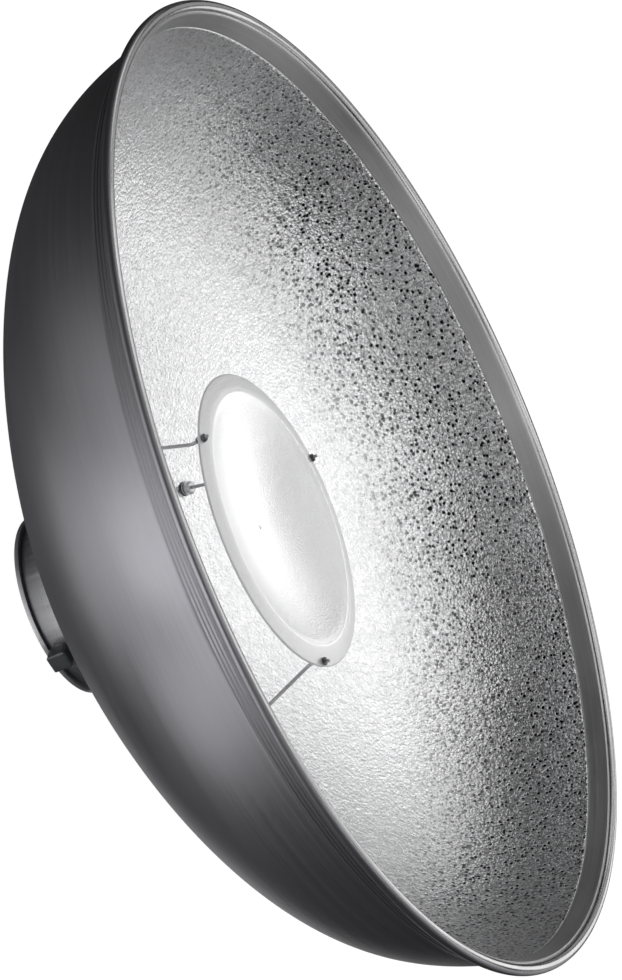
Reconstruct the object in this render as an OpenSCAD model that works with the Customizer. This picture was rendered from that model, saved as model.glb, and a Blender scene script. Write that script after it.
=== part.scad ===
// Beauty dish: a deep spun reflector for a studio flash head, with a deflector plate
// held over the lamp on three rods, and a rear collar that clamps a turning mount ring.
// +Z runs along the optical axis, out of the dish; Z = 0 is the rear face of the collar.

/* [Bowl] */
// Overall diameter over the rolled rim
dish_d = 560; // [500:1:620]
// Height of the centre of the rolled rim above the rear face
rim_z = 198; // [185:1:215]
// Thickness of the spun sheet
wall = 1.5; // [1.2:0.1:2]
// Radius of the rolled rim, outside
bead_r = 3.3; // [3:0.1:4]
// Height of the ridged skirt under the rolled rim
skirt_h = 14; // [12:1:18]
// Number of shallow spinning ridges round the skirt
ridge_count = 5; // [1:1:5]
// Spacing of the spinning ridges
ridge_pitch = 2.4; // [2:0.1:2.4]

/* [Rear collar] */
// Outer radius of the collar wall
collar_r = 49.5; // [48:0.5:54]
// Radius of the lip at the rear of the collar
lip_r = 52.3; // [51.5:0.1:57]
// Axial thickness of the rear lip
lip_t = 2.5; // [2:0.1:3]
// Length of the collar from its rear face to the bowl
collar_h = 18; // [17:0.5:22]
// Wall thickness of the collar
collar_wall = 3; // [2.5:0.1:4]
// Number of screws that hold the collar to the bowl
collar_screw_count = 6; // [3:1:8]

/* [Mount ring] */
// Radius of the opening for the lamp
lamp_bore_r = 36; // [32:0.5:37]
// Radius of the rear socket that takes the flash head
socket_r = 40.5; // [40:0.1:41]
// Inner radius of the bayonet lugs
lug_r = 37.5; // [37:0.1:38.5]
// Angle that one lug covers
lug_angle = 34; // [20:1:60]
// Radial clearance between the mount ring and the collar
turn_gap = 0.05; // [0.02:0.01:0.1]

/* [Locking knob] */
// Angle of the knob round the axis
knob_angle = 280; // [0:1:359]
// Height of the knob's axis above the rear face
knob_z = 8.6; // [8.3:0.1:9]
// Size of the knob along the dish's axis
knob_w = 12; // [10:0.5:12.5]
// Size of the knob across
knob_b = 11; // [9:0.5:12.5]
// Height of the knob
knob_h = 8.5; // [7:0.5:14]

/* [Deflector] */
// Radius of the deflector plate
plate_r = 85; // [85:0.5:89]
// Width of the plate's brim
brim_w = 11.5; // [10:0.5:14]
// Slope of the brim, falling outwards
brim_slope = 10; // [6:1:14]
// Depth of the dished centre below the inner edge of the brim
plate_depth = 14; // [8:1:18]

/* [Rods] */
// Angle of the first rod
rod_angle = 90; // [0:5:355]
// Radius of a rod
rod_r = 1; // [0.9:0.1:1.2]
// Place of the rods down the curve of the bowl: 0 at the smooth band, 1 at the floor
rod_place = 0.846; // [0.83:0.001:0.86]
// Length of a rod from the outside of the bowl to its bend
rod_len = 90.5; // [85:0.5:96]
// Radius of the bend
rod_bend_r = 8; // [6:0.5:10]

/* [Hidden] */
$fn = 96;
eps = 0.01;

rod_count = 3;

// Rolled rim
bead_c = [dish_d / 2 - bead_r, rim_z];
curl_t = 1.2;
wire_r = bead_r - curl_t - 0.05;
curl_gap = 1.3;
curl_open = 0.9;

// Outline of the bowl's outside: a curve from the smooth band down to the flat floor
floor_z = collar_h + 0.5;
floor_r = collar_r + 2.5;
hole_r = collar_r - 9.5;
bowl_r = bead_c[0] - 7.7;
bowl_top = [bowl_r, rim_z - skirt_h];
curve = [bowl_top,
         [bowl_r - 15.3, floor_z + 91.5],
         [bowl_r - 57.3, floor_z + 62.5],
         [floor_r, floor_z]];
curve_steps = 30;
neck = bead_c - [bead_r - 0.5, 1];
neck_in = bead_c - [bead_r - 0.4, -0.8];
ridge_h = 0.45;
ridge_half = 0.9;
function skirt_r(z) = bowl_top[0] + (neck[0] - bowl_top[0]) * (z - bowl_top[1]) / (neck[1] - bowl_top[1]);

// Collar and mount ring, from the rear face forwards
collar_bore_r = collar_r - collar_wall;
ring_z0 = 3.5;
ring_z1 = 12.5;
socket_z = 8.5;
snap_z0 = 2.1;
snap_t = 1.2;
slip_t = 0.8;
web_z = ring_z1 + slip_t + 0.2;
ring_r = collar_bore_r - turn_gap;
snap_depth = 1.1;
snap_width = 3.1;
snap_sweep = 336;
lug_count = 3;
lug_plate_t = 1.4;
lug_plate_r = 44.2;
plate_screw_pcr = 42.3;
plate_shank_r = 0.88;
plate_shank_end = 7;
plate_head_r = 1.7;
plate_head_h = 0.7;
gasket_t = floor_z - collar_h;
clamp_t = 2.5;
clamp_z = floor_z + wall;
collar_screw_pcr = collar_r - 6;
screw_r = 1.5;
screw_hole_r = 1.7;
screw_head_r = 2.8;
screw_head_h = 1.9;

// Locking screw, measured outwards from the axis
lock_r = 3;
lock_gap = 0.05;
boss_r = 5;
boss_top = lip_r + 0.4;
insert_r = 4;
shoe_in = collar_bore_r + 0.1;
shoe_t = 1.6;
knob_in = boss_top + 0.35;
knob_corner = 2.4;

// Stacks of washers and nuts on the rods, from the outside of the bowl inwards
rod_tail = 1.8;
nut_flats = 4;
cap_nut_t = 1.4;
cap_dome_h = 0.8;
cap_dome_r = 2.6;
cap_washer_r = 3;
cap_washer_t = 0.5;
seat_gap = 0.06;
stack_z = wall + seat_gap;
washer_gap = 0.1;
thread_gap = 0.02;
rubber_r = 4.3;
rubber_t = 1;
steel_r = 4.2;
steel_t = 0.7;
spring_r = 3.5;
spring_t = 0.9;
wall_nut_r = 3.8;
wall_nut_t = 3.4;
swage = 0.15;

// Stack on a stud, from the bend to its tip
stud_plain = 1.8;
brim_nut_t = 1.6;
brim_washer_r = 2.5;
brim_washer_t = 0.3;
plate_wall = 1.5;
stud_out = 2.2;

// Point, tangent and inward normal of the bowl's curve at t
function mix3(c, t) = pow(1 - t, 3) * c[0] + 3 * pow(1 - t, 2) * t * c[1]
                      + 3 * (1 - t) * t * t * c[2] + pow(t, 3) * c[3];
function slope3(c, t) = pow(1 - t, 2) * (c[1] - c[0]) + 2 * (1 - t) * t * (c[2] - c[1])
                        + t * t * (c[3] - c[2]);
function inward(c, t) = let (v = slope3(c, t)) [v[1], -v[0]] / norm(v);

// Path of a rod, in the plane through the axis: base, bend and stud
rod_base = mix3(curve, rod_place);
rod_dir = inward(curve, rod_place);
rod_lean = atan2(-rod_dir[0], rod_dir[1]);
bend_angle = rod_lean + brim_slope;
bend_start = rod_base + rod_len * rod_dir;
bend_c = bend_start + rod_bend_r * [rod_dir[1], -rod_dir[0]];
stud_dir = [sin(brim_slope), cos(brim_slope)];
stud_start = bend_c - rod_bend_r * [stud_dir[1], -stud_dir[0]];
brim_under = stud_plain + brim_nut_t + brim_washer_t;
brim_top = brim_under + plate_wall;
stud_len = brim_top + brim_washer_t + brim_nut_t + stud_out;

// Deflector outline: brim through the studs, then a shallow round dish
brim_point = stud_start + brim_top * stud_dir;
brim_rise = tan(brim_slope);
brim_edge = [plate_r, brim_point[1] - (plate_r - brim_point[0]) * brim_rise];
brim_in = [plate_r - brim_w, brim_edge[1] + brim_w * brim_rise];
dish_sphere_r = (pow(brim_in[0], 2) + pow(plate_depth, 2)) / (2 * plate_depth);
dish_steps = 14;
function dish_z(r) = brim_in[1] - plate_depth + dish_sphere_r - sqrt(pow(dish_sphere_r, 2) - r * r);

// ---- shared shapes ----

module at_rods() {
    for (i = [0 : rod_count - 1]) rotate([0, 0, rod_angle + i * 360 / rod_count]) children();
}

// Frame of a rod at its base: Z along the rod, from the bowl's outer surface
module at_base() {
    translate([rod_base[0], 0, rod_base[1]]) rotate([0, -rod_lean, 0]) children();
}

// Frame of the threaded stud above the bend
module at_stud() {
    translate([stud_start[0], 0, stud_start[1]]) rotate([0, brim_slope, 0]) children();
}

// Frame of the locking screw: Z points outwards, away from the axis
module at_knob() {
    rotate([0, 0, knob_angle]) translate([0, 0, knob_z]) rotate([0, 90, 0]) children();
}

module disc(r, h, z = 0) {
    translate([0, 0, z]) cylinder(r = r, h = h);
}

module washer(r_out, r_in, h, z) {
    difference() {
        disc(r_out, h, z);
        disc(r_in, h + 2, z - 1);
    }
}

// A nut with both ends chamfered; its lower face is at z
module hex_nut(h, z) {
    corner = nut_flats / sqrt(3) + 0.02;
    face = nut_flats / 2 - 0.05;
    cut = (corner - face) * tan(30);
    difference() {
        intersection() {
            translate([0, 0, z]) cylinder(r = nut_flats / sqrt(3), h = h, $fn = 6);
            rotate_extrude() polygon([[0, z], [face, z], [corner, z + cut],
                                      [corner, z + h - cut], [face, z + h], [0, z + h]]);
        }
        disc(rod_r + thread_gap, h + 2, z - 1);
    }
}

// Cross-recessed pan head on a plain shank; the head's underside is at z
module pan_screw(shank_r, shank_len, head_r, head_h, z) {
    difference() {
        intersection() {
            disc(head_r, head_h, z);
            translate([0, 0, z + head_h - head_r * 1.6]) sphere(r = head_r * 1.6);
        }
        for (a = [0, 90]) rotate([0, 0, a]) translate([0, 0, z + head_h - 0.4])
            cube([head_r * 1.2, head_r * 0.26, 1.6], center = true);
    }
    disc(shank_r, shank_len + eps, z - shank_len);
}

module ring(r_out, r_in, z0, z1) {
    washer(r_out, r_in, z1 - z0, z0);
}

// ---- bowl ----

module sheet_section() {
    ridges = [for (i = [0 : ridge_count - 1], k = [1, 0, -1])
              let (z = neck[1] - 2.2 - ridge_pitch * i + ridge_half * k)
              [skirt_r(z) + (k == 0 ? ridge_h : 0), z]];
    outer = [for (i = [0 : curve_steps]) mix3(curve, i / curve_steps)];
    inner = [for (i = [curve_steps : -1 : 0])
             let (t = i / curve_steps) mix3(curve, t) + wall * inward(curve, t)];
    polygon(concat([neck], ridges, outer, [[hole_r, floor_z], [hole_r, floor_z + wall]],
                   inner, [neck_in - [wall, 0.6], neck_in]));
}

module curl_section() {
    difference() {
        translate(bead_c) circle(r = bead_r);
        translate(bead_c) circle(r = bead_r - curl_t);
        translate(bead_c - [curl_gap, 2 * bead_r]) square([curl_open, 2 * bead_r]);
    }
}

module bowl() {
    color("dimgray") difference() {
        union() {
            rotate_extrude() sheet_section();
            rotate_extrude() curl_section();
        }
        at_rods() at_base() disc(rod_r + 0.15, 12, -6);
        collar_holes(screw_hole_r);
    }
}

module rim_wire() {
    color("silver") rotate_extrude() translate(bead_c) circle(r = wire_r);
}

// ---- rear collar ----

module collar_holes(r) {
    for (i = [0 : collar_screw_count - 1])
        rotate([0, 0, (i + 0.5) * 360 / collar_screw_count])
            translate([collar_screw_pcr, 0, 0]) disc(r, clamp_z + clamp_t + 2, web_z - 1);
}

module mount_collar() {
    color("slategray") difference() {
        union() {
            disc(collar_r, collar_h);
            disc(lip_r, lip_t);
            at_knob() disc(boss_r, boss_top - collar_bore_r - 1, collar_bore_r + 1);
        }
        disc(collar_bore_r, web_z + 1, -1);
        disc(hole_r, collar_h + 2, -1);
        disc(collar_bore_r + snap_depth + 0.2, snap_t + 0.2, snap_z0 - 0.1);
        collar_holes(screw_r + 0.05);
        at_knob() disc(insert_r, 20, collar_bore_r - 5);
    }
}

module clamp_ring() {
    color("silver") difference() {
        ring(collar_r - 0.5, hole_r, clamp_z, clamp_z + clamp_t);
        collar_holes(screw_hole_r);
    }
}

module collar_screws() {
    top = clamp_z + clamp_t;
    color("gray") for (i = [0 : collar_screw_count - 1])
        rotate([0, 0, (i + 0.5) * 360 / collar_screw_count])
            translate([collar_screw_pcr, 0, 0])
                pan_screw(screw_r, top - web_z - 0.6, screw_head_r, screw_head_h, top);
}

module seat_gasket() {
    color("black") difference() {
        ring(collar_r, hole_r, collar_h, collar_h + gasket_t);
        collar_holes(screw_hole_r);
    }
}

// ---- mount ring ----

module mount_ring() {
    color("lightgray") difference() {
        disc(ring_r, ring_z1 - ring_z0, ring_z0);
        disc(lamp_bore_r, 30, -5);
        disc(socket_r, socket_z + 5, -5);
        plate_holes(plate_shank_r + 0.02);
    }
}

module at_plate_screws() {
    for (i = [0 : lug_count - 1]) rotate([0, 0, (i + 0.5) * 360 / lug_count])
        translate([plate_screw_pcr, 0, 0]) children();
}

module plate_holes(r) {
    at_plate_screws() disc(r, plate_shank_end + 2, -1);
}

module lug_plate() {
    z0 = ring_z0 - lug_plate_t;
    color("silver") difference() {
        union() {
            ring(lug_plate_r, socket_r, z0, ring_z0);
            for (i = [0 : lug_count - 1])
                rotate([0, 0, i * 360 / lug_count - lug_angle / 2]) translate([0, 0, z0])
                    rotate_extrude(angle = lug_angle)
                        translate([lug_r, 0]) square([lug_plate_r - 0.2 - lug_r, lug_plate_t]);
        }
        plate_holes(plate_shank_r + 0.22);
    }
}

module plate_screws() {
    z0 = ring_z0 - lug_plate_t;
    color("gray") at_plate_screws() {
        disc(plate_shank_r, plate_shank_end - z0, z0);
        difference() {
            disc(plate_head_r, plate_head_h, z0 - plate_head_h);
            for (a = [0, 90]) rotate([0, 0, a]) translate([0, 0, z0 - plate_head_h])
                cube([plate_head_r * 1.2, plate_head_r * 0.26, plate_head_h], center = true);
        }
    }
}

module slip_ring() {
    color("white") ring(collar_bore_r - 0.2, hole_r, ring_z1 + 0.1, ring_z1 + 0.1 + slip_t);
}

module retaining_ring() {
    color("darkgray") translate([0, 0, snap_z0]) rotate([0, 0, (360 - snap_sweep) / 2])
        rotate_extrude(angle = snap_sweep)
            translate([collar_bore_r + snap_depth - snap_width, 0]) square([snap_width, snap_t]);
}

// ---- locking knob ----

module thread_insert() {
    color("goldenrod") at_knob() difference() {
        disc(insert_r, boss_top - collar_bore_r - 0.5, collar_bore_r + 0.5);
        disc(lock_r + lock_gap, 20, collar_bore_r - 5);
    }
}

module lock_shoe() {
    color("ivory") at_knob() disc(lock_r - 0.05, shoe_t, shoe_in);
}

module lock_screw() {
    start = shoe_in + shoe_t + 0.05;
    color("silver") at_knob() {
        translate([0, 0, start]) cylinder(r1 = lock_r - 0.6, r2 = lock_r, h = 0.6);
        disc(lock_r, knob_in + knob_h - 3.1 - start, start + 0.6);
    }
}

module rounded_bar(a, b, h, r) {
    translate([0, 0, -h / 2]) linear_extrude(h) {
        square([a - 2 * r, b], center = true);
        square([a, b - 2 * r], center = true);
        for (x = [-1, 1], y = [-1, 1]) translate([x * (a / 2 - r), y * (b / 2 - r)]) circle(r = r);
    }
}

module lock_knob() {
    deep = knob_h + 2 * knob_corner;
    color("#2b2e30") at_knob() difference() {
        translate([0, 0, knob_in]) intersection() {
            translate([0, 0, knob_h / 2]) rounded_bar(knob_w, knob_b, knob_h, knob_corner);
            translate([0, 0, knob_h - deep / 2]) rotate([90, 0, 0])
                rounded_bar(knob_w, deep, knob_b + 2, knob_corner * 0.6);
            translate([0, 0, knob_h - deep / 2]) rotate([90, 0, 90])
                rounded_bar(knob_b, deep, knob_w + 2, knob_corner * 0.6);
        }
        disc(lock_r, knob_h - 2.5, knob_in);
    }
}

// ---- deflector and its rods ----

module deflector_section() {
    brim_n = [sin(brim_slope), cos(brim_slope)];
    top = [for (i = [0 : dish_steps]) let (r = brim_in[0] * i / dish_steps) [r, dish_z(r)]];
    under = [for (i = [dish_steps : -1 : 0])
             let (r = (brim_in[0] - 0.6) * i / dish_steps) [r, dish_z(r) - plate_wall]];
    polygon(concat(top, [brim_edge, brim_edge - plate_wall * brim_n,
                         brim_in - plate_wall * brim_n], under));
}

module deflector() {
    color("gainsboro") difference() {
        rotate_extrude() deflector_section();
        at_rods() at_stud() disc(rod_r + 0.1, 8, brim_under - 3);
    }
}

// One rod: straight from the cap nut to the bend, round the bend, and a short stud.
// A slight swelling marks each end of the bend.
module rod(i) {
    color("darkgray") rotate([0, 0, rod_angle + i * 360 / rod_count]) {
        at_base() disc(rod_r, rod_len + rod_tail, -rod_tail);
        at_base() translate([0, 0, rod_len]) sphere(r = rod_r + swage);
        at_stud() sphere(r = rod_r + swage);
        translate([bend_c[0], 0, bend_c[1]]) rotate([90, 0, 0])
            rotate([0, 0, 180 - brim_slope])
                rotate_extrude(angle = bend_angle) translate([rod_bend_r, 0]) circle(r = rod_r);
        at_stud() disc(rod_r, stud_len, 0);
    }
}

module wall_cap_nuts() {
    z0 = -cap_washer_t - cap_nut_t;
    color("silver") at_rods() at_base() difference() {
        union() {
            translate([0, 0, z0]) cylinder(r = nut_flats / sqrt(3), h = cap_nut_t, $fn = 6);
            intersection() {
                translate([0, 0, z0 - cap_dome_h + cap_dome_r]) sphere(r = cap_dome_r);
                disc(nut_flats / 2 - 0.05, cap_dome_h + 0.2, z0 - cap_dome_h);
            }
        }
        disc(rod_r + thread_gap, rod_tail + 1, -rod_tail - thread_gap);
    }
}

module rod_washers(r, h, z) {
    at_rods() at_base() washer(r, rod_r + washer_gap, h, z);
}

module stud_washers(h, z) {
    at_rods() at_stud() washer(brim_washer_r, rod_r + washer_gap, h, z);
}

module wall_nuts() {
    z0 = stack_z + rubber_t + steel_t + spring_t;
    color("silver") at_rods() at_base() difference() {
        intersection() {
            disc(wall_nut_r, wall_nut_t, z0);
            translate([0, 0, z0 + 0.6]) sphere(r = wall_nut_r + 0.15);
        }
        disc(rod_r + thread_gap, wall_nut_t + 2, z0 - 1);
    }
}

module wall_outer_washers() {
    color("silver") rod_washers(cap_washer_r, cap_washer_t, -cap_washer_t);
}

module wall_rubber_washers() {
    color("black") rod_washers(rubber_r, rubber_t, stack_z);
}

module wall_steel_washers() {
    color("silver") rod_washers(steel_r, steel_t, stack_z + rubber_t);
}

module wall_spring_washers() {
    color("#303030") rod_washers(spring_r, spring_t, stack_z + rubber_t + steel_t);
}

module brim_rear_nuts() {
    color("gray") at_rods() at_stud() hex_nut(brim_nut_t, stud_plain);
}

module brim_rear_washers() {
    color("silver") stud_washers(brim_washer_t - seat_gap, brim_under - brim_washer_t);
}

module brim_front_washers() {
    color("silver") stud_washers(brim_washer_t, brim_top);
}

module brim_front_nuts() {
    color("gray") at_rods() at_stud() hex_nut(brim_nut_t, brim_top + brim_washer_t);
}

bowl();
rim_wire();
mount_collar();
clamp_ring();
collar_screws();
seat_gasket();
mount_ring();
lug_plate();
plate_screws();
slip_ring();
retaining_ring();
thread_insert();
lock_shoe();
lock_screw();
lock_knob();
deflector();
rod(0);  // rod_a
rod(1);  // rod_b
rod(2);  // rod_c
wall_cap_nuts();
wall_outer_washers();
wall_rubber_washers();
wall_steel_washers();
wall_spring_washers();
wall_nuts();
brim_rear_nuts();
brim_rear_washers();
brim_front_washers();
brim_front_nuts();
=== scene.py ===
"""Studio beauty dish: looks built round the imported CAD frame."""
import math

import bmesh
import bpy
import numpy as np
from mathutils import Matrix, Vector


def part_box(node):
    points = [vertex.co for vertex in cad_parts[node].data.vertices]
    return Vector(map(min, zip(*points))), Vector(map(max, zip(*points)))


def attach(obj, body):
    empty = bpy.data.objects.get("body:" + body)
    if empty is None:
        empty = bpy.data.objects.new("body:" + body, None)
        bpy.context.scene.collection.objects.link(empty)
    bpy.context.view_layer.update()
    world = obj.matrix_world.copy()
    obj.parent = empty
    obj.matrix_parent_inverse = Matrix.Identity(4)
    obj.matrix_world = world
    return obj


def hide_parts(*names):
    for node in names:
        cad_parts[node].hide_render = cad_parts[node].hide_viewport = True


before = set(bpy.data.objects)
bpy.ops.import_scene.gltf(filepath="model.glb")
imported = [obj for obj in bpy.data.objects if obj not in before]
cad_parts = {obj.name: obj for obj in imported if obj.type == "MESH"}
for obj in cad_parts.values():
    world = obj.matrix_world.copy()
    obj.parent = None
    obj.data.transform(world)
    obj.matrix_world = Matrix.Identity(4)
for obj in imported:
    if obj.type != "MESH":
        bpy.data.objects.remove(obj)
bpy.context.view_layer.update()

MM = 0.001

# ---- sizes, in mm, as in the CAD source; pairs are (radius, height) ----

BEAD_C = np.array([276.7, 198.0])
BEAD_R = 3.3
BEAD_ARC = (163, -142)  # degrees, from the band over the top to the skirt
BEAD_STEPS = 40
BEAD_PAINT = math.radians(55)  # the paint ends here on the bead
WALL = 1.5
HOLE_R = 40.0
FLOOR_Z = 18.5
FLOOR_R = 52.0
SKIRT_TOP = np.array([273.9, 197.0])
SKIRT_START = 195.7
SKIRT_STEP = 0.3
# outside of the bowl: a cubic Bezier curve from under the skirt to the flat floor
CURVE = np.array([[269.0, 184.0], [253.7, 110.0], [211.7, 81.0], [FLOOR_R, FLOOR_Z]])
RIDGE_Z = [194.8 - 2.4 * i for i in range(5)]
RIDGE_H = 0.45
RIDGE_HALF = 1.2
BAND_R = 268.4
GROOVE = ((0.1, 1.0), (0.55, 1.3), (0.6, 1.6), (0.0, 1.9))  # from (BAND_R, HAMMER_TOP)
BAND_TOP = ((272.1, 198.1), (272.3, 198.5), (272.55, 198.6))
BAND_STEP = 1.5
CREASE = ((272.9, 198.0), (273.2, 197.9))  # between the band and the bead
UNDER_BEAD = (273.75, 195.95)

# hammer marks, and painted shade that darkens their pits on one side of the bowl, where the
# photograph shows them dark
HAMMER_TOP = 186.1
HAMMER_PITCH = 3.1
HAMMER_DEPTH = 0.16
HAMMER_SEED = 11
HAMMER_STEP = 1.22
HAMMER_FADE_Z = 1.4
HAMMER_FADE_R = (47, 52)
INNER_TOP_Z = 184.4
# painted shade on the pits: the angle of its side, the edges of its lobe, the radii where it
# comes in, and the least of it all round
PIT_SHADE_ANGLE = math.radians(36)
PIT_SHADE_LOBE = (-0.5, 0.35)
PIT_SHADE_R = (200.0, 268.0)
PIT_SHADE_LEAST = 0.3

# points round the bowl: full beyond the first radius, half beyond the second
RING_FULL, RING_HALF, RING_QUARTER = 1344, 672, 336
RING_FULL_R, RING_HALF_R = 130, 62

# deflector and rods
BRIM_R = 73.5
BRIM_W = 11.5
BRIM_SLOPE = math.radians(10)
PLATE_T = 1.5
PIN_R = 0.4
TURN_DROP, TURN_WIDTH = 0.3, 2.6  # where dish and brim meet
ROD_ANGLES = {"rod_a": 90.0, "rod_b": 210.0, "rod_c": 330.0}  # degrees
ROD_R = 1.0
ROD_PLACE = 0.846  # of the way along CURVE
ROD_LEN = 90.5
ROD_TAIL = 1.8
BEND_R = 8.0
STUD_LEN = 9.3
THREAD_PITCH = 0.4
THREAD_DEPTH = 0.18
THREAD_STEP = 0.1
BASE_THREAD = 11.0
TIP_CHAMFER = 0.4
THREAD_LEAD, THREAD_RUNOUT = 4, 2  # plain steps before and after a thread
ROD_COLS = 20


# ---- meshes ----

def face_outwards(mesh):
    """Turns a closed mesh's faces over if they look inwards."""
    shape = bmesh.new()
    shape.from_mesh(mesh)
    if shape.calc_volume(signed=True) < 0:
        bmesh.ops.reverse_faces(shape, faces=shape.faces)
        shape.to_mesh(mesh)
    shape.free()


def make_object(name, verts, faces, face_mats, mats, body):
    """A mesh object in metres from vertices in mm."""
    mesh = bpy.data.meshes.new(name)
    mesh.from_pydata((np.asarray(verts) * MM).tolist(), [], faces)
    for m in mats:
        mesh.materials.append(m)
    mesh.polygons.foreach_set("material_index", np.asarray(face_mats, np.int32))
    mesh.polygons.foreach_set("use_smooth", np.full(len(faces), True))
    mesh.validate()
    mesh.update()
    face_outwards(mesh)
    obj = bpy.data.objects.new(name, mesh)
    bpy.context.scene.collection.objects.link(obj)
    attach(obj, body)
    return obj


def ring_points(r, z, n, offset=None, normal=None):
    """n points round the axis at radius r and height z, pushed along normal by offset."""
    a = np.arange(n) * (2 * math.pi / n)
    rr = np.full(n, float(r))
    zz = np.full(n, float(z))
    if offset is not None:
        rr = rr + offset * normal[0]
        zz = zz + offset * normal[1]
    return np.stack([rr * np.cos(a), rr * np.sin(a), zz], 1)


def stitch(a0, na, b0, nb):
    """Faces between ring a (first index a0, na points) and ring b; counts equal or 2 to 1."""
    if na == nb:
        i = np.arange(na)
        j = (i + 1) % na
        return np.stack([a0 + i, a0 + j, b0 + j, b0 + i], 1).tolist()
    faces = []
    if na == 2 * nb:
        for k in range(nb):
            f0, f1, f2 = a0 + 2 * k, a0 + 2 * k + 1, a0 + (2 * k + 2) % na
            c0, c1 = b0 + k, b0 + (k + 1) % nb
            faces += [[f0, f1, c0], [f1, c1, c0], [f1, f2, c1]]
        return faces
    for k in range(na):
        f0, f1, f2 = b0 + 2 * k, b0 + 2 * k + 1, b0 + (2 * k + 2) % nb
        c0, c1 = a0 + k, a0 + (k + 1) % na
        faces += [[f0, c0, f1], [f1, c0, c1], [f1, c1, f2]]
    return faces


def lathe(name, rings, mats, body):
    """A closed solid of revolution from rings of (points, material of the strip after)."""
    verts, faces, face_mats, starts = [], [], [], []
    count = 0
    for pts, _ in rings:
        starts.append(count)
        verts.append(pts)
        count += len(pts)
    for k in range(len(rings)):
        k2 = (k + 1) % len(rings)
        fs = stitch(starts[k], len(rings[k][0]), starts[k2], len(rings[k2][0]))
        faces += fs
        face_mats += [rings[k][1]] * len(fs)
    return make_object(name, np.concatenate(verts), faces, face_mats, mats, body)


def densify(poly, step):
    """Points along a polyline, about step apart, keeping its corners."""
    out = [poly[0]]
    for p, q in zip(poly[:-1], poly[1:]):
        n = max(1, int(math.ceil(np.linalg.norm(np.subtract(q, p)) / step)))
        out += [np.add(p, np.subtract(q, p) * (k / n)) for k in range(1, n + 1)]
    return np.array(out)


def bezier(t):
    """Points (radius, height) on the outside of the bowl; t is 0 at the top, 1 at the floor."""
    t = np.asarray(t, float)[:, None]
    c = CURVE
    return ((1 - t) ** 3 * c[0] + 3 * (1 - t) ** 2 * t * c[1]
            + 3 * (1 - t) * t * t * c[2] + t ** 3 * c[3])


def bezier_inward(t):
    """Unit normals of that curve, pointing into the bowl."""
    t = np.asarray(t, float)[:, None]
    c = CURVE
    v = ((1 - t) ** 2 * (c[1] - c[0]) + 2 * (1 - t) * t * (c[2] - c[1])
         + t * t * (c[3] - c[2]))
    n = np.stack([v[:, 1], -v[:, 0]], 1)
    return n / np.linalg.norm(n, axis=1)[:, None]


def resample(poly, step):
    """Evenly spaced points on a smooth polyline, unit normals to its left, and distances."""
    d = np.linalg.norm(np.diff(poly, axis=0), axis=1)
    s = np.concatenate([[0], np.cumsum(d)])
    n = int(round(s[-1] / step))
    u = np.linspace(0, s[-1], n + 1)
    p = np.stack([np.interp(u, s, poly[:, 0]), np.interp(u, s, poly[:, 1])], 1)
    g = np.gradient(p, axis=0)
    nrm = np.stack([-g[:, 1], g[:, 0]], 1)
    return p, nrm / np.linalg.norm(nrm, axis=1)[:, None], u


class HammerField:
    """Irregular pebbles on a surface of revolution: rows of cells with jittered centres."""

    ROW = 0.9       # distance between rows, in pitches
    JITTER = 0.36   # how far a centre may move, in cells
    SIZES = (0.55, 1.25)
    EDGE = 0.75     # width of the valley between pebbles, in pitches
    DOME = 0.62     # radius of a pebble's dome, in pitches

    def __init__(self, s_max, radius_at, pitch, seed):
        rng = np.random.default_rng(seed)
        self.row = pitch * self.ROW
        self.pitch = pitch
        self.rows = []
        for i in range(int(s_max / self.row) + 3):
            s = (i - 1) * self.row
            r = max(float(radius_at(s)), pitch)
            n = max(8, int(round(2 * math.pi * r / pitch)))
            step = 2 * math.pi / n
            start = rng.uniform(0, 1)
            shift = rng.uniform(-self.JITTER, self.JITTER, n)
            ang = (np.arange(n) + start) * step + shift * step
            off = s + rng.uniform(-self.JITTER, self.JITTER, n) * self.row
            size = rng.uniform(*self.SIZES, n)
            tint = rng.uniform(0, 1, n)
            self.rows.append((n, ang, off, size, tint))

    def at(self, s, r, theta):
        """At a ring: dome drop, valley between pebbles (0 to 1), pebble size and tint."""
        i0 = int(round(s / self.row)) + 1
        best = np.full(len(theta), 1e9)
        second = np.full(len(theta), 1e9)
        size = np.ones(len(theta))
        tint = np.zeros(len(theta))
        for i in (i0 - 1, i0, i0 + 1):
            if i < 0 or i >= len(self.rows):
                continue
            n, ang, off, sizes, tints = self.rows[i]
            k0 = np.floor((theta - ang[0]) / (2 * math.pi) * n + 0.5).astype(int)
            for dk in (-1, 0, 1):
                k = (k0 + dk) % n
                da = theta - ang[k]
                da = (da + math.pi) % (2 * math.pi) - math.pi
                d = np.hypot(da * r, s - off[k])
                closer = d < best
                second = np.where(closer, best, np.minimum(second, d))
                size = np.where(closer, sizes[k], size)
                tint = np.where(closer, tints[k], tint)
                best = np.where(closer, d, best)
        edge = np.clip(1 - (second - best) / (self.EDGE * self.pitch), 0, 1)
        dome = np.clip(best / (self.DOME * self.pitch), 0, 1.2) ** 2
        return dome, edge, size, tint


def smoothstep(x, a, b):
    """0 at a and 1 at b, with a smooth start and end."""
    t = np.clip((np.asarray(x, float) - a) / (b - a), 0, 1)
    return t * t * (3 - 2 * t)


# ---- materials ----

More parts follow.
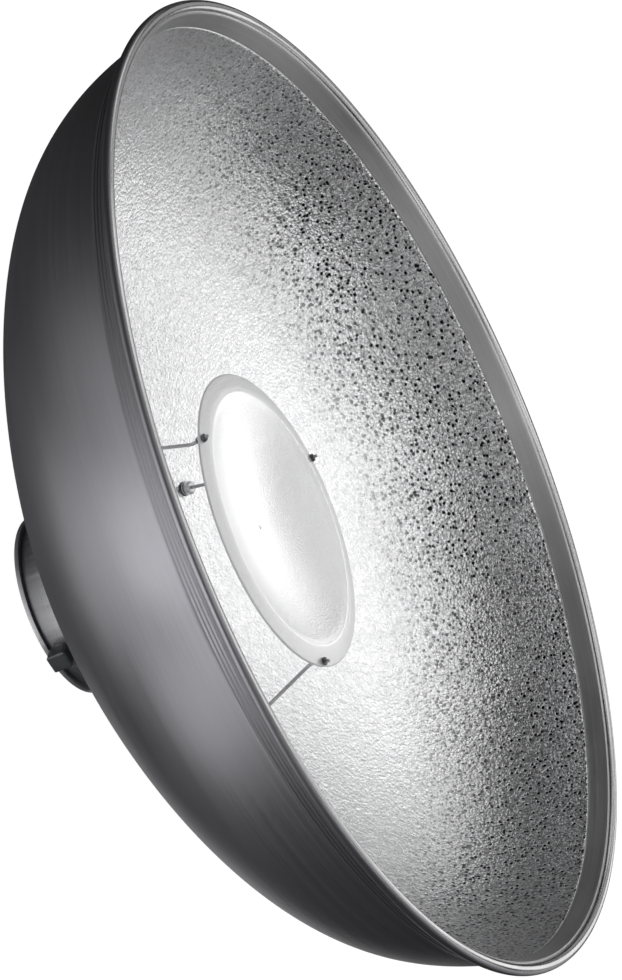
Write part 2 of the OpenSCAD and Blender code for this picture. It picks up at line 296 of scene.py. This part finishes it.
class Nodes:
    """Builds one material's node tree. Values may be numbers or node sockets."""

    def __init__(self, name):
        self.mat = bpy.data.materials.new(name)
        self.mat.use_nodes = True
        self.tree = self.mat.node_tree
        self.tree.nodes.clear()
        out = self.tree.nodes.new("ShaderNodeOutputMaterial")
        self.bsdf = self.tree.nodes.new("ShaderNodeBsdfPrincipled")
        self.link(self.bsdf.outputs[0], out.inputs[0])

    def link(self, a, b):
        self.tree.links.new(a, b)

    def new(self, kind, **props):
        node = self.tree.nodes.new(kind)
        for k, v in props.items():
            setattr(node, k, v)
        return node

    def feed(self, sock, value):
        if isinstance(value, bpy.types.NodeSocket):
            self.link(value, sock)
        elif sock.type == "RGBA":
            sock.default_value = (*value, 1)
        else:
            sock.default_value = value

    def set(self, node, **inputs):
        for k, v in inputs.items():
            self.feed(node.inputs[k.replace("_", " ")], v)

    def coords(self, scale=(1, 1, 1)):
        """The object's own coordinates, in metres, scaled."""
        tex = self.new("ShaderNodeTexCoord")
        mapping = self.new("ShaderNodeMapping")
        self.set(mapping, Scale=scale, Vector=tex.outputs["Object"])
        return mapping.outputs[0]

    def xyz(self):
        sep = self.new("ShaderNodeSeparateXYZ")
        self.link(self.coords(), sep.inputs[0])
        return sep.outputs

    def length(self, x, y):
        return self.math("SQRT", self.add(self.times(x, x), self.times(y, y)))

    def radius(self):
        """Distance from the axis."""
        x, y, _ = self.xyz()
        return self.length(x, y)

    def polar(self, round_scale, along_scale):
        """Coordinates that change fast along the profile and slowly round the axis."""
        x, y, z = self.xyz()
        rad = self.length(x, y)
        comb = self.new("ShaderNodeCombineXYZ")
        self.link(self.times(self.math("DIVIDE", x, rad), round_scale), comb.inputs[0])
        self.link(self.times(self.math("DIVIDE", y, rad), round_scale), comb.inputs[1])
        along = self.add(self.times(rad, along_scale), self.times(z, along_scale))
        self.link(along, comb.inputs[2])
        return comb.outputs[0]

    def math(self, op, a, b=None, clamp=False):
        node = self.new("ShaderNodeMath", operation=op, use_clamp=clamp)
        self.feed(node.inputs[0], a)
        if b is not None:
            self.feed(node.inputs[1], b)
        return node.outputs[0]

    def add(self, a, b):
        return self.math("ADD", a, b)

    def times(self, a, b, clamp=False):
        return self.math("MULTIPLY", a, b, clamp)

    def noise(self, vector, scale, detail=4.0, rough=0.5):
        node = self.new("ShaderNodeTexNoise")
        self.set(node, Vector=vector, Scale=scale, Detail=detail, Roughness=rough)
        return node.outputs["Fac"]

    def voronoi(self, vector, scale):
        """Distance to the nearest cell centre."""
        node = self.new("ShaderNodeTexVoronoi")
        self.set(node, Vector=vector, Scale=scale)
        return node.outputs["Distance"]

    def attribute(self, name):
        return self.new("ShaderNodeAttribute", attribute_name=name).outputs["Fac"]

    def warp(self, vector, scale, distance):
        """Coordinates pushed about by noise, so that round cells become irregular."""
        noise = self.new("ShaderNodeTexNoise")
        self.set(noise, Vector=vector, Scale=scale)
        push = self.new("ShaderNodeVectorMath", operation="SCALE")
        self.set(push, Scale=distance)
        self.link(noise.outputs["Color"], push.inputs[0])
        moved = self.new("ShaderNodeVectorMath", operation="ADD")
        self.link(vector, moved.inputs[0])
        self.link(push.outputs[0], moved.inputs[1])
        return moved.outputs[0]

    def ramp(self, fac, low, high):
        """Two (position, colour) stops."""
        node = self.new("ShaderNodeValToRGB")
        for stop, (position, color) in zip(node.color_ramp.elements, (low, high)):
            stop.position = position
            stop.color = (*color, 1)
        self.link(fac, node.inputs[0])
        return node.outputs[0]

    def remap(self, value, lo, hi, a=0.0, b=1.0):
        """lo where the value is a, hi where it is b."""
        node = self.new("ShaderNodeMapRange")
        self.set(node, Value=value, From_Min=a, From_Max=b, To_Min=lo, To_Max=hi)
        return node.outputs[0]

    def mix(self, fac, a, b):
        node = self.new("ShaderNodeMix", data_type="RGBA")
        for index, value in ((0, fac), (6, a), (7, b)):
            self.feed(node.inputs[index], value)
        return node.outputs[2]

    def bump(self, height, distance, strength, normal=None):
        node = self.new("ShaderNodeBump")
        self.set(node, Height=height, Distance=distance, Strength=strength)
        if normal is not None:
            self.link(normal, node.inputs["Normal"])
        return node.outputs[0]

    def edge_wear(self, lo=0.52, hi=0.62):
        geo = self.new("ShaderNodeNewGeometry")
        return self.remap(geo.outputs["Pointiness"], 0.0, 1.0, lo, hi)

    def finish(self, color, rough, normal, metallic=0.0):
        self.set(self.bsdf, Base_Color=color, Roughness=rough, Metallic=metallic, Normal=normal)
        return self.mat


MIDDLE = (0.3, 0.7)  # where a noise has nearly all of its values


def shade(base, factor, lift=0.0):
    """A darker or lighter colour."""
    return tuple(min(1.0, c * factor + lift) for c in base)


def hammered_silver():
    """Bright silver, finely pebbled, with round pits, and painted shade that turns pits and
    pebbles dark on one side of the bowl near the rim.
    """
    n = Nodes("hammered_silver")
    obj = n.coords()
    valley = n.attribute("pit")
    tint = n.attribute("tint")
    pit_shade = n.attribute("pit_shade")
    patch = n.noise(obj, 14.0, 3.0)
    fine = n.noise(obj, 1000.0, 3.0, 0.65)
    uneven = n.warp(obj, 420.0, 0.0015)
    large = n.remap(n.voronoi(uneven, 285.0), 1.0, 0.0, 0.23, 0.36)
    small = n.remap(n.voronoi(uneven, 430.0), 0.5, 0.0, 0.20, 0.36)
    pit = n.math("MAXIMUM", large, small)
    pebble = n.voronoi(uneven, 560.0)
    # painted shade: where its mask is high, in patches, pebbles go dark grey and pits nearly
    # black, for the dark reflections in them
    patchy_pit_shade = n.times(pit_shade, n.remap(patch, 0.75, 1.45, *MIDDLE), clamp=True)
    unshaded = n.mix(tint, (0.84, 0.84, 0.85), (0.96, 0.96, 0.965))
    pebble_shade = n.times(n.remap(pebble, 0.0, 0.7, 0.3, 0.75), patchy_pit_shade)
    color = n.mix(pebble_shade, unshaded, (0.30, 0.30, 0.31))
    color = n.mix(n.times(pit, patchy_pit_shade), color, (0.012, 0.012, 0.013))
    rough = n.add(n.remap(fine, 0.20, 0.34, *MIDDLE), n.times(valley, 0.05))
    bump = n.bump(n.math("SUBTRACT", 1.0, pit), 0.00040, n.remap(pit_shade, 0.08, 1.0))
    bump = n.bump(pebble, 0.00034, 0.8, bump)
    bump = n.bump(fine, 0.00007, 0.45, bump)
    return n.finish(color, rough, bump, metallic=1.0)


def satin_silver(name, base, rough, marks):
    """Turned silver with fine rings round the axis. base is a grey."""
    n = Nodes(name)
    rings = n.noise(n.polar(1.2, marks), 1.0, 5.0, 0.7)
    cloud = n.noise(n.coords(), 25.0, 4.0)
    color = n.ramp(rings, (0.25, (base * 0.72,) * 3), (0.75, (base * 1.12,) * 3))
    color = n.mix(n.remap(cloud, 0.0, 0.35, 0.35, 0.75), color, (base * 0.6,) * 3)
    r = n.add(n.remap(rings, *rough, *MIDDLE), n.remap(cloud, 0.0, 0.08, *MIDDLE))
    return n.finish(color, r, n.bump(rings, 0.00003, 0.6), metallic=1.0)


def grey_paint():
    """Satin grey paint over spun metal, with faint spinning lines and small scuffs."""
    n = Nodes("grey_paint")
    obj = n.coords()
    lines = n.noise(n.polar(0.6, 900.0), 1.0, 6.0, 0.65)
    broad = n.noise(n.polar(0.5, 130.0), 1.0, 2.0, 0.5)
    cloud = n.noise(obj, 7.0, 4.0)
    grain = n.noise(obj, 2600.0, 2.0)
    color = n.ramp(lines, (0.2, (0.245, 0.243, 0.262)), (0.8, (0.315, 0.313, 0.335)))
    color = n.mix(n.remap(cloud, 0.0, 0.3, 0.35, 0.7), color, (0.25, 0.248, 0.266))
    worn = n.remap(n.noise(obj, 60.0, 6.0, 0.7), 0.0, 0.25, 0.62, 0.8)
    scuff = n.times(worn, n.edge_wear(0.5, 0.56))
    color = n.mix(scuff, color, (0.42, 0.42, 0.43))
    rough = n.add(n.remap(lines, 0.33, 0.43, *MIDDLE), n.remap(cloud, -0.03, 0.05, *MIDDLE))
    bump = n.bump(lines, 0.00005, 0.5)
    bump = n.bump(broad, 0.0004, 0.25, bump)
    bump = n.bump(grain, 0.00002, 0.4, bump)
    return n.finish(color, rough, bump, metallic=0.85)


def frosted_plate():
    """Sand-blasted silver in the dish, a smoother grey satin on the brim."""
    n = Nodes("frosted_plate")
    obj = n.coords()
    grain = n.voronoi(obj, 950.0)
    fine = n.noise(obj, 2200.0, 4.0, 0.65)
    cloud = n.noise(obj, 22.0, 3.0)
    brim = n.remap(n.radius(), 0.0, 1.0, (BRIM_R - 1.0) * MM, (BRIM_R + 1.5) * MM)
    dish = n.ramp(fine, (0.3, (0.66, 0.66, 0.665)), (0.7, (0.84, 0.84, 0.845)))
    rim = n.ramp(fine, (0.3, (0.58, 0.58, 0.585)), (0.7, (0.66, 0.66, 0.665)))
    color = n.mix(brim, dish, rim)
    color = n.mix(n.remap(cloud, 0.0, 0.25, 0.4, 0.7), color, (0.6, 0.6, 0.605))
    color = n.mix(n.times(n.edge_wear(0.53, 0.62), 0.4), color, (0.8, 0.8, 0.805))
    rough = n.add(n.remap(fine, 0.30, 0.38, *MIDDLE), n.times(brim, 0.10))
    bump = n.bump(grain, 0.00016, 0.7)
    bump = n.bump(fine, 0.00006, 0.6, bump)
    return n.finish(color, rough, bump, metallic=0.8)


def collar_paint():
    """Darker grey paint on a cast and turned collar, worn to bare metal on its edges."""
    n = Nodes("collar_paint")
    obj = n.coords()
    cloud = n.noise(obj, 30.0, 5.0)
    grain = n.noise(obj, 1800.0, 3.0)
    lines = n.noise(n.polar(0.8, 1500.0), 1.0, 4.0, 0.6)
    color = n.ramp(cloud, (0.3, (0.16, 0.16, 0.17)), (0.7, (0.21, 0.21, 0.222)))
    color = n.mix(n.times(n.edge_wear(), 0.8), color, (0.5, 0.5, 0.51))
    rough = n.add(n.remap(lines, 0.26, 0.36, *MIDDLE), n.remap(grain, -0.03, 0.04, *MIDDLE))
    bump = n.bump(lines, 0.00003, 0.4)
    return n.finish(color, rough, n.bump(grain, 0.00002, 0.5, bump), metallic=0.45)


def machined(name, base, rough=(0.22, 0.38), turned=True):
    """Bare or plated metal with tool marks, tarnish and rubbed edges."""
    n = Nodes(name)
    obj = n.coords()
    if turned:
        marks = n.noise(n.polar(1.0, 4200.0), 1.0, 4.0, 0.7)
    else:
        marks = n.noise(n.coords((1.0, 1.0, 9.0)), 700.0, 4.0, 0.6)
    cloud = n.noise(obj, 120.0, 5.0, 0.6)
    color = n.ramp(marks, (0.25, shade(base, 0.62)), (0.7, shade(base, 1.12)))
    color = n.mix(n.remap(cloud, 0.0, 0.55, 0.42, 0.72), color, shade(base, 0.55))
    color = n.mix(n.times(n.edge_wear(0.53, 0.66), 0.6), color, shade(base, 1.5, 0.05))
    r = n.add(n.remap(marks, *rough, *MIDDLE), n.remap(cloud, -0.02, 0.10, *MIDDLE))
    return n.finish(color, r, n.bump(marks, 0.00002, 0.6), metallic=1.0)


def moulded(name, base, rough, grain=2400.0):
    """Moulded plastic or rubber with a fine grain and lighter rubbed edges."""
    n = Nodes(name)
    obj = n.coords()
    g = n.voronoi(obj, grain)
    fine = n.noise(obj, grain * 1.7, 3.0, 0.6)
    cloud = n.noise(obj, 90.0, 4.0)
    color = n.ramp(cloud, (0.3, shade(base, 0.75)), (0.7, shade(base, 1.3, 0.004)))
    color = n.mix(n.times(n.edge_wear(0.53, 0.68), 0.5), color, shade(base, 2.2, 0.05))
    r = n.add(n.remap(fine, *rough, *MIDDLE), n.remap(cloud, -0.03, 0.06, *MIDDLE))
    bump = n.bump(g, 0.00006, 0.4)
    return n.finish(color, r, n.bump(fine, 0.00003, 0.4, bump))


# ---- bowl ----

HAMMERED, BAND, BEAD, PAINT = range(4)  # the bowl's material slots


def inner_profile():
    """The hammered wall from the hole up to the groove, as evenly spaced points."""
    t = np.linspace(1, 0, 1200)
    inner = bezier(t) + WALL * bezier_inward(t)
    inner = inner[inner[:, 1] < INNER_TOP_Z]
    start = np.array([[HOLE_R, FLOOR_Z + WALL]])
    top = np.array([[BAND_R - 0.05, HAMMER_TOP + 0.9]])
    return resample(np.concatenate([start, inner, top]), HAMMER_STEP)


def hammered_rings():
    """The inside wall's rings, and for each its valleys, tints and painted shade on the pits.
    """
    p, normals, s = inner_profile()
    field = HammerField(s[-1], lambda x: np.interp(x, s, p[:, 0]), HAMMER_PITCH, HAMMER_SEED)
    fade = (smoothstep(-p[:, 1], -HAMMER_TOP, -HAMMER_TOP + HAMMER_FADE_Z)
            * smoothstep(p[:, 0], *HAMMER_FADE_R))
    for (r, z), normal, sv, f in zip(p, normals, s, fade):
        n = RING_FULL if r > RING_FULL_R else RING_HALF if r > RING_HALF_R else RING_QUARTER
        theta = np.arange(n) * (2 * math.pi / n)
        dome, valley, size, tint = field.at(sv, r, theta)
        # painted shade on the pits, strongest on one side of the bowl and coming in towards the
        # rim
        lobe = smoothstep(np.cos(theta - PIT_SHADE_ANGLE), *PIT_SHADE_LOBE)
        pit_shade = smoothstep(r, *PIT_SHADE_R) * (PIT_SHADE_LEAST + (1 - PIT_SHADE_LEAST) * lobe)
        points = ring_points(r, z, n, -HAMMER_DEPTH * f * size * dome, normal)
        yield points, valley * f, 0.5 + (tint - 0.5) * f, pit_shade


def ridge(z):
    """How far the spinning ridges stand out of the skirt at height z."""
    d = min(abs(z - c) for c in RIDGE_Z)
    return RIDGE_H * max(0.0, math.cos(min(d / RIDGE_HALF, 1) * math.pi / 2)) ** 1.5


def plain_profile():
    """(radius, height, points, material) from the groove, over the rim, down the outside."""
    for dr, dz in GROOVE:
        yield BAND_R + dr, HAMMER_TOP + dz, RING_HALF, BAND
    band = densify([(BAND_R + 0.15, HAMMER_TOP + 2.3), *BAND_TOP], BAND_STEP)
    for r, z in (*band, *CREASE):
        yield r, z, RING_HALF, BAND
    for a in np.radians(np.linspace(*BEAD_ARC, BEAD_STEPS)):
        r, z = BEAD_C + BEAD_R * np.array([math.cos(a), math.sin(a)])
        yield r, z, RING_HALF, BEAD if a > BEAD_PAINT else PAINT
    yield *UNDER_BEAD, RING_HALF, PAINT
    slope = (SKIRT_TOP[0] - CURVE[0][0]) / (SKIRT_TOP[1] - CURVE[0][1])
    for z in np.arange(SKIRT_START, CURVE[0][1], -SKIRT_STEP):
        yield CURVE[0][0] + slope * (z - CURVE[0][1]) + ridge(z), z, RING_HALF, PAINT
    for r, z in bezier(np.linspace(0, 1, 110)):
        yield r, z, RING_QUARTER, PAINT
    yield HOLE_R, FLOOR_Z, RING_QUARTER, PAINT


def build_bowl(mats):
    rings, values = [], []
    for points, valley, tint, pit_shade in hammered_rings():
        rings.append((points, HAMMERED))
        values.append((valley, tint, pit_shade))
    for r, z, n, mat in plain_profile():
        rings.append((ring_points(r, z, n), mat))
        values.append((np.zeros(n), np.full(n, 0.5), np.zeros(n)))
    obj = lathe("spun_bowl", rings, mats, "reflector")
    for name, data in zip(("pit", "tint", "pit_shade"), zip(*values)):
        att = obj.data.attributes.new(name, "FLOAT", "POINT")
        att.data.foreach_set("value", np.concatenate(data).astype(np.float32))
    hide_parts("bowl")


# ---- deflector ----

def build_deflector(mat):
    """The frosted plate. Its rings start at PIN_R, so a pinhole is left in its middle."""
    lo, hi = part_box("deflector")
    r_edge, z_in = hi.x / MM, hi.z / MM
    depth = z_in - lo.z / MM - PLATE_T
    slope = math.tan(BRIM_SLOPE)
    r_in = r_edge - BRIM_W
    sphere = (r_in ** 2 + depth ** 2) / (2 * depth)

    def top(r):
        """Upper surface: spherical dish and flat brim, softened where they meet."""
        if r < r_in:
            z = z_in - depth + sphere - math.sqrt(sphere ** 2 - r * r)
        else:
            z = z_in - (r - r_in) * slope
        return z - TURN_DROP * math.exp(-((r - r_in) / TURN_WIDTH) ** 2)

    dish = np.linspace(PIN_R, r_in - 7, 50)
    brim = np.linspace(r_in - 6.5, r_edge - 1.2, 34)
    rs = np.concatenate([dish, brim])
    upper = [(r, top(r)) for r in rs]
    z_edge = z_in - BRIM_W * slope
    centre = np.array([r_edge - PLATE_T / 2, z_edge - PLATE_T / 2 + 0.1])
    edge = [centre + PLATE_T / 2 * np.array([math.cos(a), math.sin(a)])
            for a in np.radians(np.linspace(78, -98, 14))]
    lower = [(r, top(r) - PLATE_T) for r in rs[::-1]]
    rings = [(ring_points(r, z, 256 if r > 20 else 128), 0) for r, z in upper + edge + lower]
    obj = lathe("frosted_deflector", rings, [mat], "reflector")
    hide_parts("deflector")
    return obj


# ---- rods ----

def rod_path():
    """A rod's centre line as (radius, height), and where its two threads end and begin."""
    base = bezier([ROD_PLACE])[0]
    d = bezier_inward([ROD_PLACE])[0]
    pts = [base + d * u for u in (-ROD_TAIL, -ROD_TAIL / 2)]
    pts += [base + d * u for u in np.arange(0.0, BASE_THREAD, THREAD_STEP)]
    base_end = len(pts)
    pts += [base + d * u for u in np.linspace(BASE_THREAD, ROD_LEN, 12)]
    start = base + ROD_LEN * d
    centre = start + BEND_R * np.array([d[1], -d[0]])
    bend = math.atan2(-d[0], d[1]) + BRIM_SLOPE
    a0 = math.atan2(start[1] - centre[1], start[0] - centre[0])
    for u in np.linspace(0, 1, 14)[1:]:
        a = a0 - bend * u
        pts.append(centre + BEND_R * np.array([math.cos(a), math.sin(a)]))
    end, stud_start = pts[-1], len(pts)
    stud = np.array([math.sin(BRIM_SLOPE), math.cos(BRIM_SLOPE)])
    pts += [end + stud * u for u in np.arange(THREAD_STEP, STUD_LEN, THREAD_STEP)]
    return np.array(pts), base_end, stud_start


def build_rod(name, mat):
    """A bent rod with a screw thread at each end."""
    path, base_end, stud_start = rod_path()
    angle = math.radians(ROD_ANGLES[name])
    ca, sa = math.cos(angle), math.sin(angle)
    tangent = np.gradient(path, axis=0)
    tangent /= np.linalg.norm(tangent, axis=1)[:, None]
    side = np.stack([tangent[:, 1], -tangent[:, 0]], 1)
    s = np.concatenate([[0], np.cumsum(np.linalg.norm(np.diff(path, axis=0), axis=1))])
    phi = np.arange(ROD_COLS) * (2 * math.pi / ROD_COLS)
    verts = []
    last = len(path) - 1
    for k, (q, w, sv) in enumerate(zip(path, side, s)):
        threaded = (THREAD_LEAD < k < base_end - THREAD_RUNOUT) or k > stud_start + THREAD_LEAD
        r = np.full(ROD_COLS, ROD_R)
        if threaded:
            wave = (sv / THREAD_PITCH - phi / (2 * math.pi)) % 1.0
            r = r - THREAD_DEPTH * np.abs(2 * wave - 1)
        tip = (last - k) * THREAD_STEP
        if tip < TIP_CHAMFER:
            r = np.minimum(r, ROD_R - TIP_CHAMFER + tip)
        u = q[0] + r * np.cos(phi) * w[0]
        z = q[1] + r * np.cos(phi) * w[1]
        v = r * np.sin(phi)
        verts.append(np.stack([u * ca - v * sa, u * sa + v * ca, z], 1))
    rows = len(verts)
    faces = []
    for k in range(rows - 1):
        faces += stitch(k * ROD_COLS, ROD_COLS, (k + 1) * ROD_COLS, ROD_COLS)
    faces.append(list(range(ROD_COLS))[::-1])
    faces.append([(rows - 1) * ROD_COLS + i for i in range(ROD_COLS)])
    obj = make_object("bent_" + name, np.concatenate(verts), faces, [0] * len(faces), [mat],
                      "reflector")
    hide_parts(name)


# ---- build ----

M = {
    "hammered": hammered_silver(),
    "band": satin_silver("band_silver", 0.60, (0.28, 0.42), 2600.0),
    "bead": satin_silver("bead_silver", 0.56, (0.16, 0.26), 3000.0),
    "paint": grey_paint(),
    "plate": frosted_plate(),
    "collar": collar_paint(),
    "ring": machined("turned_aluminium", (0.72, 0.72, 0.73)),
    "steel": machined("plated_steel", (0.56, 0.56, 0.57), turned=False),
    "dark": machined("blackened_steel", (0.10, 0.10, 0.105), (0.3, 0.45), turned=False),
    "rod": machined("drawn_steel", (0.45, 0.45, 0.46), (0.25, 0.4), turned=False),
    "rubber": moulded("black_rubber", (0.02, 0.02, 0.02), (0.55, 0.75)),
    "gasket": moulded("fibre_gasket", (0.045, 0.045, 0.047), (0.7, 0.85), 1400.0),
    "slip": moulded("waxy_slip", (0.78, 0.78, 0.75), (0.35, 0.5)),
    "brass": machined("machined_brass", (0.70, 0.52, 0.24)),
    "knob": moulded("knob_plastic", (0.040, 0.044, 0.047), (0.34, 0.46)),
}

NODE_MATS = {
    "rim_wire": "steel", "mount_collar": "collar", "clamp_ring": "ring",
    "collar_screws": "steel", "seat_gasket": "gasket", "mount_ring": "ring",
    "lug_plate": "steel", "plate_screws": "steel", "slip_ring": "slip",
    "retaining_ring": "dark", "thread_insert": "brass", "lock_shoe": "slip",
    "lock_screw": "steel", "lock_knob": "knob", "wall_cap_nuts": "steel",
    "wall_outer_washers": "steel", "wall_rubber_washers": "rubber",
    "wall_steel_washers": "steel", "wall_spring_washers": "dark", "wall_nuts": "steel",
    "brim_rear_nuts": "dark", "brim_rear_washers": "steel",
    "brim_front_washers": "steel", "brim_front_nuts": "dark",
}

build_bowl([M["hammered"], M["band"], M["bead"], M["paint"]])
deflector = build_deflector(M["plate"])
for rod in ROD_ANGLES:
    build_rod(rod, M["rod"])


def dress(node, mat, bevel):
    """Keeps a CAD node, with its material and softened edges."""
    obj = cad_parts[node]
    obj.data.materials.clear()
    obj.data.materials.append(mat)
    mod = obj.modifiers.new("soft_edges", "BEVEL")
    mod.width = bevel * MM
    mod.segments = 2
    mod.limit_method = "ANGLE"
    mod.angle_limit = math.radians(35)
    mod.use_clamp_overlap = True


SOFT = {"mount_collar": 0.35, "lock_knob": 0.3, "clamp_ring": 0.3, "mount_ring": 0.25}
SOFT_SMALL = 0.12
for node, key in NODE_MATS.items():
    dress(node, M[key], SOFT.get(node, SOFT_SMALL))

# ---- floor, light, camera ----

FLOOR_SIZE = 14.0
FLOOR_DROP = 0.0004
WHITE = (1.0, 1.0, 1.0, 1.0)
FLOOR_GREY = (0.06, 0.06, 0.06, 1.0)


def build_floor():
    """A plain pale floor that neither lights nor shades the object."""
    mesh = bpy.data.meshes.new("floor")
    h = FLOOR_SIZE / 2
    mesh.from_pydata([(-h, -h, 0), (h, -h, 0), (h, h, 0), (-h, h, 0)], [], [(0, 1, 2, 3)])
    obj = bpy.data.objects.new("floor", mesh)
    bpy.context.scene.collection.objects.link(obj)
    obj.location.z = -FLOOR_DROP
    mat = bpy.data.materials.new("pale_floor")
    mat.use_nodes = True
    tree = mat.node_tree
    tree.nodes.clear()
    out = tree.nodes.new("ShaderNodeOutputMaterial")
    add = tree.nodes.new("ShaderNodeAddShader")
    glow = tree.nodes.new("ShaderNodeEmission")
    glow.inputs["Color"].default_value = WHITE
    glow.inputs["Strength"].default_value = 1.0
    diff = tree.nodes.new("ShaderNodeBsdfDiffuse")
    diff.inputs["Color"].default_value = FLOOR_GREY
    tree.links.new(glow.outputs[0], add.inputs[0])
    tree.links.new(diff.outputs[0], add.inputs[1])
    tree.links.new(add.outputs[0], out.inputs[0])
    mesh.materials.append(mat)
    obj.visible_diffuse = False
    obj.visible_glossy = False
    obj.visible_shadow = False


def build_world():
    """A background that the camera sees white; only the softboxes give light."""
    world = bpy.data.worlds.new("studio")
    bpy.context.scene.world = world
    world.use_nodes = True
    tree = world.node_tree
    tree.nodes.clear()
    out = tree.nodes.new("ShaderNodeOutputWorld")
    mix = tree.nodes.new("ShaderNodeMixShader")
    path = tree.nodes.new("ShaderNodeLightPath")
    seen = tree.nodes.new("ShaderNodeBackground")
    lit = tree.nodes.new("ShaderNodeBackground")
    seen.inputs["Color"].default_value = WHITE
    lit.inputs["Strength"].default_value = 0.0
    tree.links.new(path.outputs["Is Camera Ray"], mix.inputs[0])
    tree.links.new(lit.outputs[0], mix.inputs[1])
    tree.links.new(seen.outputs[0], mix.inputs[2])
    tree.links.new(mix.outputs[0], out.inputs[0])


# the photograph's camera, in metres, solved outside this script from the dish's ellipses
CAM_RIGHT = Vector((0.45232, 0.20699, 0.86751))
CAM_UP = Vector((-0.84527, 0.40978, 0.34294))
CAM_BACK = Vector((-0.28450, -0.88839, 0.36031))
CAM_AT = Vector((-0.782112, -2.414286, 1.141720))
SENSOR = 36.0
FOCAL_PIXELS, FRAME_HEIGHT = 5000, 980
AIM = Vector((0.0, 0.0, 0.12))  # what the lights point at
LIGHT_DISTANCE = 1.7


def build_camera():
    data = bpy.data.cameras.new("camera")
    data.sensor_width = SENSOR
    data.lens = SENSOR * FOCAL_PIXELS / FRAME_HEIGHT
    data.clip_start, data.clip_end = 0.1, 50.0
    cam = bpy.data.objects.new("camera", data)
    bpy.context.scene.collection.objects.link(cam)
    rot = Matrix((CAM_RIGHT, CAM_UP, CAM_BACK)).transposed().to_4x4()
    cam.matrix_world = Matrix.Translation(CAM_AT) @ rot
    bpy.context.scene.camera = cam


def softbox(name, direction, power, size, only=None):
    """An area light in direction (right, up, back) of the photograph's camera.

    With only, it lights that one object.
    """
    right, up, back = direction
    d = (CAM_RIGHT * right + CAM_UP * up + CAM_BACK * back).normalized()
    data = bpy.data.lights.new(name, "AREA")
    data.shape = "RECTANGLE"
    data.size, data.size_y = size
    data.energy = power
    light = bpy.data.objects.new(name, data)
    bpy.context.scene.collection.objects.link(light)
    light.location = AIM + d * LIGHT_DISTANCE
    light.rotation_mode = "QUATERNION"
    light.rotation_quaternion = d.to_track_quat("Z", "Y")
    light.visible_camera = False
    if only is not None:
        group = bpy.data.collections.new(name + "_target")
        group.objects.link(only)
        light.light_linking.receiver_collection = group


# Direction (right, up, back) and power. The powers come from a least-squares fit, made
# outside this script, of these softboxes to the tones of the photograph.
LIGHTS = [
    (0.34, 0.00, 0.94, 1.68),
    (0.17, 0.30, 0.94, 0.55),
    (0.63, 0.23, 0.74, 2.31),
    (0.33, 0.58, 0.74, 0.82),
    (-0.67, 0.00, 0.74, 2.49),
    (-0.51, -0.43, 0.74, 4.61),
    (0.33, -0.58, 0.74, 0.77),
    (0.63, -0.23, 0.74, 0.24),
    (0.90, 0.00, 0.44, 1.88),
    (0.76, 0.49, 0.44, 1.57),
    (0.37, 0.82, 0.44, 1.98),
    (-0.86, 0.25, 0.44, 1.42),
    (-0.86, -0.25, 0.44, 3.94),
    (-0.59, -0.68, 0.44, 2.00),
    (0.76, -0.49, 0.44, 2.54),
    (0.96, 0.26, 0.07, 2.54),
    (0.71, 0.71, 0.07, 2.37),
    (0.26, 0.96, 0.07, 0.24),
    (-0.96, 0.26, 0.07, 0.61),
    (-0.96, -0.26, 0.07, 1.68),
    (-0.71, -0.71, 0.07, 2.14),
    (0.96, -0.26, 0.07, 1.25),
    (0.95, 0.00, -0.31, 1.78),
    (0.80, 0.51, -0.31, 1.57),
    (0.40, 0.87, -0.31, 1.58),
    (-0.91, -0.27, -0.31, 1.51),
    (0.80, -0.51, -0.31, 1.41),
    (0.74, 0.00, -0.67, 2.41),
    (0.57, 0.48, -0.67, 0.70),
    (0.57, -0.48, -0.67, 0.96),
    (-0.12, -0.36, -0.93, 1.06),
]
BOX_SIZE = (0.7, 0.7)
# one more softbox that lights the deflector alone
PLATE_LIGHT = (0.62, 0.25, -0.74)
PLATE_SIZE = (0.5, 0.5)
PLATE_POWER = 2.5

build_floor()
build_world()
build_camera()
for k, (*direction, power) in enumerate(LIGHTS):
    softbox("softbox_%02d" % k, direction, power, BOX_SIZE)
softbox("plate_softbox", PLATE_LIGHT, PLATE_POWER, PLATE_SIZE, only=deflector)
bpy.context.scene.view_settings.view_transform = "Standard"
